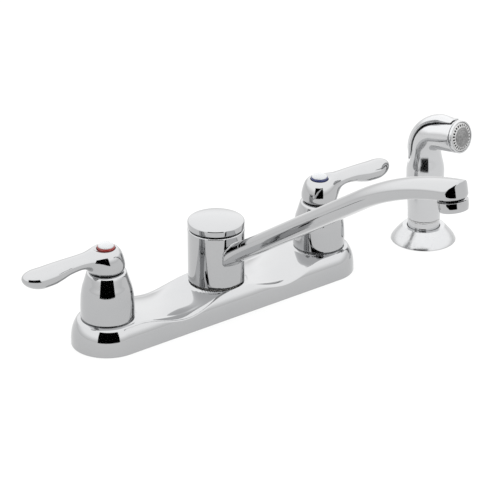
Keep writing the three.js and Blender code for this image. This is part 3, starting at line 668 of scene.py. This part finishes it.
def handle_field(lean):
    """Dome and lever in one, with the bore for stem and screw and the index pocket."""
    c, s = math.cos(lean), math.sin(lean)

    def field(p):
        x = p[:, 0] * c + p[:, 1] * s
        y = -p[:, 0] * s + p[:, 1] * c
        z = p[:, 2]
        rho = np.hypot(p[:, 0], p[:, 1])
        wide, high, mid = LEVER_WIDE(x), LEVER_HIGH(x), LEVER_MID(x)
        ahead = np.maximum(x - LEVER_ROUND, 0) / LEVER_TIP_RUN
        behind = np.maximum(-x, 0) / LEVER_BACK_RUN
        a, b = y / wide, (z - mid) / high
        k1 = np.sqrt(a * a + b * b + ahead * ahead + behind * behind) + 1e-9
        k2 = np.sqrt(
            (a / wide) ** 2 + (b / high) ** 2 + (ahead / LEVER_TIP_RUN) ** 2
            + (behind / LEVER_BACK_RUN) ** 2) + 1e-9
        lever = k1 * (k1 - 1) / k2
        below = HANDLE_FOOT_Z - z
        dome = smax(rho - DOME_SIDE(z), smax(z - HANDLE_TOP_Z, below, 0.4), 0.8)
        body = smax(smin(dome, lever, 9.5), below, 0.4)
        body = smax(body, z - HANDLE_TOP_Z - 0.3 * np.maximum(rho - 8.5, 0), 0.8)
        body = np.minimum(body, cylinder_field(rho, z, 9.2, 50, 62))
        body = smax(body, -cylinder_field(rho, z, 4.5, 40, 69.3), 0.15)
        body = smax(body, -cylinder_field(rho, z, 3.9, 71.3, 90), 0.15)
        body = smax(body, -cylinder_field(rho, z, 2.3, 60, 90), 0.15)
        return smax(body, -cylinder_field(rho, z, POCKET_RADIUS, POCKET_FLOOR_Z, 90), 0.25)

    return field


def lens_outline():
    dome = [
        (LENS_RADIUS * math.cos(a), mix(LENS_EDGE_Z, LENS_TOP_Z, math.sin(a)))
        for a in np.linspace(0.06, math.pi / 2, 14)]
    return [
        (0, INDEX_FOOT_Z), (LENS_RADIUS - 0.2, INDEX_FOOT_Z), (LENS_RADIUS, 74.9),
        (LENS_RADIUS, 78.4)] + dome


def handle_set(side, x, turn, lean, ring_colour):
    at = placed(x, 0, 0, turn)
    body = f"{side}_handle"
    bell = lathe("bell", bell_outline(), 128)
    finish_piece(f"look_{side}_bell", bell, "base", chrome, f"{side}_bell", at)
    lever = skin("lever", handle_field(lean), (-16, -16, 49), (73.5, 16, 79.5), 0.65)
    finish_piece(f"look_{side}_lever", lever, body, chrome, f"{side}_lever", at)
    ring = lathe("ring", rounded([
        (6.1, INDEX_FOOT_Z), (6.8, INDEX_FOOT_Z), (6.8, 77.6, 0.3), (6.4, 78.5, 0.2),
        (6.1, 78.5)], 4), 96)
    finish_piece(f"look_{side}_ring", ring, body, ring_colour, f"{side}_index_ring", at)
    button = lathe("button", lens_outline(), 96)
    finish_piece(f"look_{side}_button", button, body, button_white, f"{side}_button", at)


handle_set("hot", -HANDLE_X, math.pi, -LEVER_LEAN, ring_red)
handle_set("cold", HANDLE_X, 0.0, LEVER_LEAN, ring_blue)


# ---------- spout ----------
ROOT_HALF_WIDTH, TIP_HALF_WIDTH = 10.6, 11.2
ROOT_CROWN, TIP_CROWN = 5.2, 7.4     # height of the crowned top above its creases
BELLY_DROP = 2
SPOUT_SKIN = 2.4
HUB_FOOT_Z = 22.4
HUB_BORE_RADIUS, HUB_COUNTER_RADIUS, HUB_SHOULDER_Z = 15, 17.6, 58.7
GLIDE_ROOM_RADIUS, GLIDE_ROOM_TOP_Z = 19, 26
AERATOR_SHOW, AERATOR_SOCKET_RADIUS, AERATOR_SOCKET_DEPTH = 7.3, 9.5, 6
SIN_PITCH, COS_PITCH = math.sin(SPOUT_PITCH), math.cos(SPOUT_PITCH)
BEND_S = SPOUT_STRAIGHT_END
BEND_Z = SPOUT_CROWN_ROOT_Z + (SPOUT_STRAIGHT_END - HUB_RADIUS) * math.tan(SPOUT_PITCH)
BEND_CENTRE = (BEND_S + SPOUT_BEND_RADIUS * SIN_PITCH, BEND_Z - SPOUT_BEND_RADIUS * COS_PITCH)
TIP_PITCH = math.asin(SIN_PITCH - (SPOUT_TIP_REACH - SPOUT_STRAIGHT_END) / SPOUT_BEND_RADIUS)
TIP_Z = BEND_Z + SPOUT_BEND_RADIUS * (math.cos(TIP_PITCH) - COS_PITCH)


def arm_place(s, z):
    """How far a point is above the crown line, how far along the arm, and its reach there."""
    ahead = (s - BEND_S) * COS_PITCH + (z - BEND_Z) * SIN_PITCH
    above = -(s - BEND_S) * SIN_PITCH + (z - BEND_Z) * COS_PITCH
    away_s, away_z = s - BEND_CENTRE[0], z - BEND_CENTRE[1]
    radius = np.hypot(away_s, away_z)
    pitch = np.arctan2(-away_s, away_z)
    straight = ahead < 0
    bent = SPOUT_BEND_RADIUS * (SIN_PITCH - np.sin(np.clip(pitch, 0, SPOUT_PITCH)))
    reach = np.where(straight, BEND_S + ahead * COS_PITCH, BEND_S + bent)
    return np.where(straight, above, radius - SPOUT_BEND_RADIUS), reach


def arm_section(x, above, reach, ahead_of_nose, inset):
    """The arm's crowned section, or the water channel's where it is inset."""
    t = np.clip((reach - HUB_RADIUS) / (SPOUT_TIP_REACH - HUB_RADIUS), 0, 1)
    full = mix(ROOT_HALF_WIDTH, TIP_HALF_WIDTH, t)
    half = full - inset
    crown = mix(ROOT_CROWN, TIP_CROWN, t) * half / full
    radius = (half * half + crown * crown) / (2 * crown)
    lateral = np.hypot(x, np.maximum(ahead_of_nose, 0))
    top = np.hypot(x, above + inset + radius) - radius
    sides = lateral - half
    rise = BELLY_DROP * np.clip(lateral / half, 0, 1.3) ** 2
    belly = -above - SPOUT_THICKNESS + rise + inset
    crease, edge = (0.9, 2.2) if inset == 0 else (0.3, 0.3)
    return smax(smax(top, sides, crease), belly, edge)


def nose_frame(s, z):
    """How far a point is ahead of the aerator's axis, and over the crown there."""
    ds, dz = s - SPOUT_TIP_REACH, z - TIP_Z
    c, n = math.cos(TIP_PITCH), math.sin(TIP_PITCH)
    return ds * c + dz * n, -ds * n + dz * c


def spout_field(p):
    x, s, z = p[:, 0], -p[:, 1], p[:, 2]
    above, reach = arm_place(s, z)
    ahead, over = nose_frame(s, z)
    rho = np.hypot(x, s)
    arm = smax(arm_section(x, above, reach, ahead, 0), 2 - s, 0.5)
    hub = cylinder_field(rho, z, HUB_RADIUS, HUB_FOOT_Z, HUB_GROOVE_Z, 0.3)
    body = smin(arm, hub, 0.8)
    channel = arm_section(x, above, reach, ahead, SPOUT_SKIN)
    channel = smax(smax(channel, s - SPOUT_TIP_REACH, 0.3), 2 - s, 0.3)
    hollows = [
        channel,
        cylinder_field(rho, z, HUB_BORE_RADIUS, 0, 90),
        cylinder_field(rho, z, HUB_COUNTER_RADIUS, HUB_SHOULDER_Z, 90),
        cylinder_field(rho, z, GLIDE_ROOM_RADIUS, 0, GLIDE_ROOM_TOP_Z),
        cylinder_field(np.hypot(x, ahead), over, AERATOR_SOCKET_RADIUS, -40,
                       -SPOUT_THICKNESS + AERATOR_SOCKET_DEPTH),
    ]
    for hollow in hollows:
        body = smax(body, -hollow, 0.3)
    return body


spout_at = placed(0, 0, 0, SPOUT_YAW)
spout = skin("spout", spout_field, (-23, -254, 20), (23, 23, 190), 0.85)
finish_piece("look_spout_arm", spout, "spout", chrome, "spout_arm", spout_at)

cap_foot = HUB_GROOVE_Z + HUB_GROOVE + 0.2
cap_plug, cap_plug_z = 17.3, 61.9
lid = [(HUB_RADIUS * a, HUB_TOP_Z + 1.3 - 1.5 * a ** 2.2) for a in np.linspace(0, 0.8, 30)]
cap_side = rounded([
    (cap_plug, cap_foot), (HUB_RADIUS, cap_foot, 0.5), (HUB_RADIUS, HUB_TOP_Z - 0.2, 1.7),
    (17.44, HUB_TOP_Z + 0.38)], 6)[1:-1]
cap = [(0, cap_plug_z), (cap_plug, cap_plug_z), (cap_plug, cap_foot)] + cap_side + lid[::-1]
finish_piece("look_spout_cap", lathe("cap", cap, 144), "spout", chrome, "spout_cap", spout_at)


def at_nose():
    """The aerator's frame: +Z runs up its axis."""
    nose = Matrix.Translation(Vector((0, -SPOUT_TIP_REACH, TIP_Z)) * MM)
    return spout_at @ nose @ Matrix.Rotation(-TIP_PITCH, 4, "X")


shell_top, shell_bottom = -SPOUT_THICKNESS - 0.15, -SPOUT_THICKNESS - AERATOR_SHOW
aerator = lathe("aerator", rounded([
    (8.7, shell_bottom, 0.2), (10.1, shell_bottom, 0.5), (10.7, shell_bottom + 3, 1),
    (10.8, shell_top, 0.25), (9.2, shell_top), (9.2, shell_top + 4.6), (8, shell_top + 4.6),
    (8, shell_bottom + 3), (8.7, shell_bottom + 2.4)]))
finish_piece("look_aerator_shell", aerator, "spout", chrome, "aerator_shell", at_nose())


# ---------- side spray ----------
NECK_BASE_RADIUS, NECK_BULGE_RADIUS, NECK_TOP_RADIUS, BARREL_END_RADIUS = 13.2, 15.3, 12.1, 13
BULGE_Z, DRAW_Z = 57, 60
SPIGOT_RADIUS = 9.6
CHANNEL_RADIUS = 6.4
PLUNGER_AHEAD, PLUNGER_HOLE_RADIUS = 8, 2.5
PRESS_TRAVEL = math.radians(2.2)
PRESS_ROOM = 0.6         # how much larger than the lever its pocket is
spray_at = placed(SPRAY_X, SPRAY_Y, 0, SPRAY_YAW)


def spray_radius(t):
    """The body's radius at a length t along its centre line."""
    z = SPRAY_BASE_Z + np.minimum(t, NECK_LENGTH)
    bulge = smooth((z - SPRAY_BASE_Z) / (BULGE_Z - SPRAY_BASE_Z))
    draw = smooth((z - DRAW_Z) / (BEND_START_Z - DRAW_Z))
    flare = smooth((t - NECK_LENGTH - BEND_LENGTH) / BARREL_LENGTH)
    neck = mix(mix(NECK_BASE_RADIUS, NECK_BULGE_RADIUS, bulge), NECK_TOP_RADIUS, draw)
    return mix(neck, BARREL_END_RADIUS, flare)


BEND_END = (
    BEND_RADIUS * (1 - math.cos(BEND_TURN)), BEND_START_Z + BEND_RADIUS * math.sin(BEND_TURN))


def spray_places(p):
    """The three stretches of the centre line: (which points, length along, offset to the back)."""
    a, z = -p[:, 1], p[:, 2]
    va, vz = BEND_RADIUS - a, z - BEND_START_Z
    turn = np.arctan2(vz, va)
    sin_turn, cos_turn = math.sin(BEND_TURN), math.cos(BEND_TURN)
    along = (a - BEND_END[0]) * sin_turn + (z - BEND_END[1]) * cos_turn
    up_barrel = -(a - BEND_END[0]) * cos_turn + (z - BEND_END[1]) * sin_turn
    return [
        (z <= BEND_START_Z, z - SPRAY_BASE_Z, -a),
        ((turn > 0) & (turn < BEND_TURN), NECK_LENGTH + BEND_RADIUS * turn,
         np.hypot(va, vz) - BEND_RADIUS),
        (along >= 0, NECK_LENGTH + BEND_LENGTH + along, up_barrel),
    ]


def tube_field(p, radius_at, start, end, k=0.3):
    """A tube along the spray's centre line."""
    best = np.full(len(p), 1e3)
    for valid, t, back in spray_places(p):
        value = np.hypot(p[:, 0], back) - radius_at(t)
        value = smax(value, smax(start - t, t - end, k), k)
        best = np.where(valid, np.minimum(best, value), best)
    return best


PRESS_START = 69.5 - SPRAY_BASE_Z
PRESS_END = BODY_LENGTH - 1.2
THUMB = NECK_LENGTH + BEND_LENGTH + 3


def press_inner(t):
    """The radius at which the inside of the pressing lever lies."""
    lift = smooth((t - PRESS_START) / 10)
    settle = smooth((t - NECK_LENGTH - BEND_LENGTH) / (BARREL_LENGTH - 4))
    return spray_radius(t) + mix(mix(-0.9, 1.4, lift), 0.4, settle)


def press_field(p, grow=0.0):
    """The pressing lever, or the room round it where it is grown."""
    best = np.full(len(p), 1e3)
    for valid, t, back in spray_places(p):
        radius = np.hypot(p[:, 0], back)
        angle = np.abs(np.arctan2(p[:, 0], back))
        edge = np.sin(math.pi * np.minimum(np.maximum(t - PRESS_START + 3, 0) / 16, 0.5))
        taper = smooth((t - NECK_LENGTH) / (BEND_LENGTH + 8))
        span = np.radians(mix(54, 24, taper)) * mix(0.8, 1, edge) + grow * 0.06
        skirt = smooth((angle / span - 0.5) / 0.45)
        skirt = skirt * smooth((t - PRESS_START) / 10) * (1 - 0.8 * taper)
        inner = press_inner(t) - 1.8 * skirt - grow * 0.5
        ridge = 1.3 * np.exp(-(((t - THUMB) / 8) ** 2))
        ending = smooth((t - THUMB) / (PRESS_END - THUMB))
        outer = press_inner(t) + mix(1.7, 1.1, ending) + ridge - 1.1 * skirt + 4 * grow
        k = 0.9 if grow == 0 else 0.3
        value = smax(inner - radius, radius - outer, 0.5)
        value = smax(value, (angle - span) * np.maximum(radius, 4), k)
        value = smax(value, smax(PRESS_START - grow - t, t - PRESS_END - grow / 2, k), 2.2 * k)
        best = np.where(valid, np.minimum(best, value), best)
    return best


PIVOT_ALONG = PRESS_END - NECK_LENGTH - BEND_LENGTH
PIVOT_UP = float(press_inner(PRESS_END))
PIVOT = (
    BEND_END[0] + PIVOT_ALONG * math.sin(BEND_TURN) - PIVOT_UP * math.cos(BEND_TURN),
    BEND_END[1] + PIVOT_ALONG * math.cos(BEND_TURN) + PIVOT_UP * math.sin(BEND_TURN),
)


def unpressed(p):
    """Where a point of the pressed lever's room came from."""
    a, z = -p[:, 1] - PIVOT[0], p[:, 2] - PIVOT[1]
    c, s = math.cos(PRESS_TRAVEL), math.sin(PRESS_TRAVEL)
    q = p.copy()
    q[:, 1] = -(PIVOT[0] + a * c + z * s)
    q[:, 2] = PIVOT[1] - a * s + z * c
    return q


def spray_field(p):
    body = tube_field(p, spray_radius, 0, BODY_LENGTH, 0.5)
    rho = np.hypot(p[:, 0], p[:, 1])
    body = np.minimum(body, cylinder_field(rho, p[:, 2], SPIGOT_RADIUS, 8, 20))
    hollows = [
        press_field(p, PRESS_ROOM),
        press_field(unpressed(p), PRESS_ROOM),
        tube_field(p, lambda t: np.full_like(t, CHANNEL_RADIUS), 0, BODY_LENGTH + 3),
        cylinder_field(rho, p[:, 2], CHANNEL_RADIUS, 0, 20),
    ]
    for hollow in hollows:
        body = smax(body, -hollow, 0.25)
    plunger = np.hypot(p[:, 0], p[:, 1] + PLUNGER_AHEAD)
    return smax(body, -cylinder_field(plunger, p[:, 2], PLUNGER_HOLE_RADIUS, 94, 120), 0.2)


spray = skin("spray", spray_field, (-17, -47, 7), (17, 17, 114), 0.6)
finish_piece("look_spray_shell", spray, "spray", chrome_spray, "spray_shell", spray_at)
press = skin("press", press_field, (-15, -46, 66), (15, 20, 118), 0.5)
finish_piece("look_spray_lever", press, "spray_trigger", chrome_spray, "spray_lever", spray_at)

face_ahead = BEND_END[0] + BARREL_LENGTH * math.sin(BEND_TURN)
face_z = BEND_END[1] + BARREL_LENGTH * math.cos(BEND_TURN)
face_at = spray_at @ Matrix.Translation(Vector((0, -face_ahead, face_z)) * MM)
face_at = face_at @ Matrix.Rotation(BEND_TURN, 4, "X")
bezel = lathe("bezel", rounded([
    (7, 0.3), (12.1, 0.3), (12.1, 1.1), (13.1, 1.1, 0.2), (13, 3, 1), (11.75, 3.1, 0.2),
    (11.75, 1.4), (7, 1.4)]))
finish_piece("look_spray_bezel", bezel, "spray", chrome_spray, "spray_bezel", face_at)


JETS, JET_RADIUS, DISC_RADIUS, DISC_MIDDLE = 24, 9.3, 11.6, 8
JET_HALF_WIDTH, JET_HALF_LENGTH = 0.55, 0.8
DISC_BACK = 1.6
RIM_ZONE, JET_ZONE, MIDDLE_ZONE = 0, 1, 2    # the disc's material slots


def spray_face():
    """A domed grey disc with a ring of small jets and fine rings in its middle."""
    segments, rings = 288, 74
    radii = np.linspace(0, DISC_RADIUS, rings)
    angles = np.arange(segments) / segments * TAU
    r, a = np.meshgrid(radii, angles, indexing="ij")
    z = 2.7 + 2.2 * (1 - (r / DISC_RADIUS) ** 2)
    z += 0.3 * smooth((DISC_MIDDLE - r) / 0.5) + 0.12 * np.cos(r * TAU / 1.5) * (r < DISC_MIDDLE - 1)
    nearest = np.round(a / TAU * JETS) / JETS * TAU
    hole = np.maximum(
        np.abs((a - nearest) * r) / JET_HALF_WIDTH, np.abs(r - JET_RADIUS) / JET_HALF_LENGTH)
    z -= 1.3 * smooth((1.25 - hole) / 0.4)
    z -= 0.5 * smooth((r - DISC_RADIUS + 0.3) / 0.3)
    top = np.stack([r * np.cos(a), r * np.sin(a), z], -1).reshape(-1, 3)
    back = np.stack([
        DISC_RADIUS * np.cos(angles), DISC_RADIUS * np.sin(angles),
        np.full(segments, DISC_BACK)], 1)
    centre = np.array([[0, 0, DISC_BACK]])
    vertices = np.concatenate([top, back, centre])
    faces = []
    for j in range(rings - 1):
        for i in range(segments):
            n = (i + 1) % segments
            faces.append((
                j * segments + i, (j + 1) * segments + i, (j + 1) * segments + n,
                j * segments + n))
    last, first = (rings - 1) * segments, rings * segments
    for i in range(segments):
        n = (i + 1) % segments
        faces.append((last + i, first + i, first + n, last + n))
        faces.append((first + i, len(vertices) - 1, first + n))
    return mesh_from("spray_face", vertices, faces)


def disc_zone(face):
    """Which finish a face of the disc has; the faces inside a jet hole get the near-black painted
    shade.
    """
    x, y = face.center.x / MM, face.center.y / MM
    radius, angle = math.hypot(x, y), math.atan2(y, x)
    across = (angle - round(angle / TAU * JETS) / JETS * TAU) * radius
    if abs(across) < JET_HALF_WIDTH and abs(radius - JET_RADIUS) < JET_HALF_LENGTH:
        return JET_ZONE
    return MIDDLE_ZONE if radius < DISC_MIDDLE else RIM_ZONE


disc = finish_piece("look_spray_disc", spray_face(), "spray", silver_plastic, "spray_disc")
# The faces inside the jet holes take the near-black painted shade.
disc.data.materials.append(jet_hole_painted_shade)
disc.data.materials.append(disc_grey)
for face in disc.data.polygons:
    face.material_index = disc_zone(face)
disc.data.transform(face_at)

collar = lathe("collar", rounded([
    (7.2, 2.9), (13, 2.9, 0.5), (13, 17.9, 0.3), (9.9, 17.9), (9.9, 7.6), (7.2, 7.6)]))
finish_piece("look_spray_collar", collar, "spray", chrome_spray, "spray_collar", spray_at)
ring = lathe("ring", rounded([(9.9, 18), (13.05, 18, 0.2), (13.05, 19.1, 0.2), (9.9, 19.1)]), 96)
finish_piece("look_spray_ring", ring, "spray", silver_plastic, "spray_ring", spray_at)

cone_z = np.linspace(0.5, 11.4, 24)
cone_side = curve_through([0, 0.8, 2.3, 5, 8.4, 11.6], [26.3, 26, 25.2, 23.3, 20.4, 17.4])
cone = list(zip(cone_side(cone_z), cone_z))
lip = rounded([
    (17.4, 11.6), (17, 12, 0.3), (13.4, 12, 0.35), (13.4, 10.9), (15.2, 10.9)])[1:]
inside = [(15.2, 0.3), (17, 0.3), (17, 7.6), (19, 6.6), (21.8, 3.6)]
flange = lathe("flange", [(23.7, 0), (26.1, 0), (26.25, 0.15)] + cone + lip + inside, 144)
finish_piece("look_holder_flange", flange, "base", satin, "holder_flange", spray_at)


# ---------- studio ----------
FLOOR_HALF_SIDE = 12
FLOOR_DROP = 0.0002      # keeps the floor just under the part's flat faces
FLOOR_TONE = (0.86, 0.86, 0.86, 1)
FLOOR_GLOW = 0.8         # the share of plain white, which leaves the rest for the shadow
SKY_TONES = [(0, 1.0), (20, 1.65), (70, 1.7)]    # (degrees above the horizon, tone)


class StageNodes:
    """A short way to write the node trees of the floor, the card and the sky."""

    def __init__(self, tree):
        self.tree = tree
        tree.nodes.clear()

    def add(self, kind, **settings):
        node = self.tree.nodes.new(kind)
        for key, value in settings.items():
            setattr(node, key, value)
        return node

    def feed(self, socket, value):
        if isinstance(value, bpy.types.NodeSocket):
            self.tree.links.new(value, socket)
        else:
            socket.default_value = value

    def maths(self, operation, *values, clamp=False):
        node = self.add("ShaderNodeMath", operation=operation, use_clamp=clamp)
        for socket, value in zip(node.inputs, values):
            self.feed(socket, value)
        return node.outputs[0]

    def step(self, value, low, high):
        """Runs from 0 to 1 as the value passes from low to high."""
        node = self.add("ShaderNodeMapRange", interpolation_type="SMOOTHSTEP")
        self.feed(node.inputs["Value"], value)
        node.inputs["From Min"].default_value = low
        node.inputs["From Max"].default_value = high
        return node.outputs["Result"]


def stage_object(name, vertices, faces):
    """A stage mesh with an empty node material."""
    mesh = bpy.data.meshes.new(name)
    mesh.from_pydata(vertices, [], faces)
    material = bpy.data.materials.new(name)
    material.use_nodes = True
    mesh.materials.append(material)
    obj = linked(name, mesh)
    return obj, StageNodes(material.node_tree)


def floor():
    """White for the camera, the metal and glass alike, and it keeps the shadow."""
    side = FLOOR_HALF_SIDE
    obj, nodes = stage_object(
        "floor", [(-side, -side, 0), (side, -side, 0), (side, side, 0), (-side, side, 0)],
        [(0, 1, 2, 3)])
    obj.location.z = -FLOOR_DROP
    path = nodes.add("ShaderNodeLightPath").outputs
    seen = nodes.maths("ADD", path["Is Camera Ray"], path["Is Glossy Ray"])
    seen = nodes.maths("ADD", seen, path["Is Transmission Ray"], clamp=True)
    diffuse = nodes.add("ShaderNodeBsdfDiffuse")
    diffuse.inputs["Color"].default_value = FLOOR_TONE
    glow = nodes.add("ShaderNodeEmission")
    glow.inputs["Strength"].default_value = 1
    mixer = nodes.add("ShaderNodeMixShader")
    nodes.feed(mixer.inputs[0], nodes.maths("MULTIPLY", seen, FLOOR_GLOW))
    nodes.feed(mixer.inputs[1], diffuse.outputs[0])
    nodes.feed(mixer.inputs[2], glow.outputs[0])
    nodes.feed(nodes.add("ShaderNodeOutputMaterial").inputs["Surface"], mixer.outputs[0])


def black_flag(azimuths, height, distance):
    """A black card that curves round the set on the photographer's side.

    It stands between the camera and the part, so only what the metal reflects shows it.
    """
    steps = 40
    vertices = []
    for i in range(steps + 1):
        turn = math.radians(mix(*azimuths, i / steps))
        x, y = distance * math.sin(turn), -distance * math.cos(turn)
        vertices += [(x, y, 0), (x, y, height)]
    faces = [(2 * i, 2 * i + 2, 2 * i + 3, 2 * i + 1) for i in range(steps)]
    obj, nodes = stage_object("black_flag", vertices, faces)
    black = nodes.add("ShaderNodeEmission")
    black.inputs["Strength"].default_value = 0
    nodes.feed(nodes.add("ShaderNodeOutputMaterial").inputs["Surface"], black.outputs[0])
    obj.visible_camera = False
    obj.visible_diffuse = False
    obj.visible_shadow = False


def studio_light():
    """White all round and brighter overhead, the same for the camera and for the metal."""
    world = bpy.data.worlds.new("studio")
    bpy.context.scene.world = world
    world.use_nodes = True
    nodes = StageNodes(world.node_tree)
    rise = nodes.add("ShaderNodeVectorMath", operation="DOT_PRODUCT")
    nodes.feed(rise.inputs[0], nodes.add("ShaderNodeTexCoord").outputs["Generated"])
    rise.inputs[1].default_value = (0, 0, 1)
    height = nodes.maths("ARCSINE", rise.outputs["Value"])
    height = nodes.maths("MULTIPLY", height, 180 / math.pi)
    tone = SKY_TONES[0][1]
    for (low, before), (high, after) in zip(SKY_TONES[:-1], SKY_TONES[1:]):
        change = nodes.maths("MULTIPLY", nodes.step(height, low, high), after - before)
        tone = nodes.maths("ADD", change, tone)
    background = nodes.add("ShaderNodeBackground")
    background.inputs["Color"].default_value = (1, 1, 1, 1)
    nodes.feed(background.inputs["Strength"], tone)
    nodes.feed(nodes.add("ShaderNodeOutputWorld").inputs["Surface"], background.outputs[0])


def softbox(name, azimuth, elevation, distance=1.5, side=0.9, radiance=0.4):
    """A square lamp, placed by angles in degrees and a distance in metres."""
    data = bpy.data.lights.new(name, "AREA")
    data.shape = "RECTANGLE"
    data.size, data.size_y = side, side
    data.energy = radiance * math.pi * side * side
    lamp = linked(name, data)
    a, e = math.radians(azimuth), math.radians(elevation)
    back = Vector((math.sin(a) * math.cos(e), -math.cos(a) * math.cos(e), math.sin(e)))
    lamp.location = back * distance + Vector((0, -0.05, 0.06))
    lamp.rotation_euler = back.to_track_quat("Z", "Y").to_euler()
    lamp.visible_camera = False
    lamp.visible_glossy = False


floor()
black_flag(azimuths=(-70, -8), height=0.5, distance=0.7)
studio_light()
softbox("key_left", azimuth=-120, elevation=40)
softbox("key_right", azimuth=50, elevation=38)

bpy.context.scene.view_settings.view_transform = "Standard"
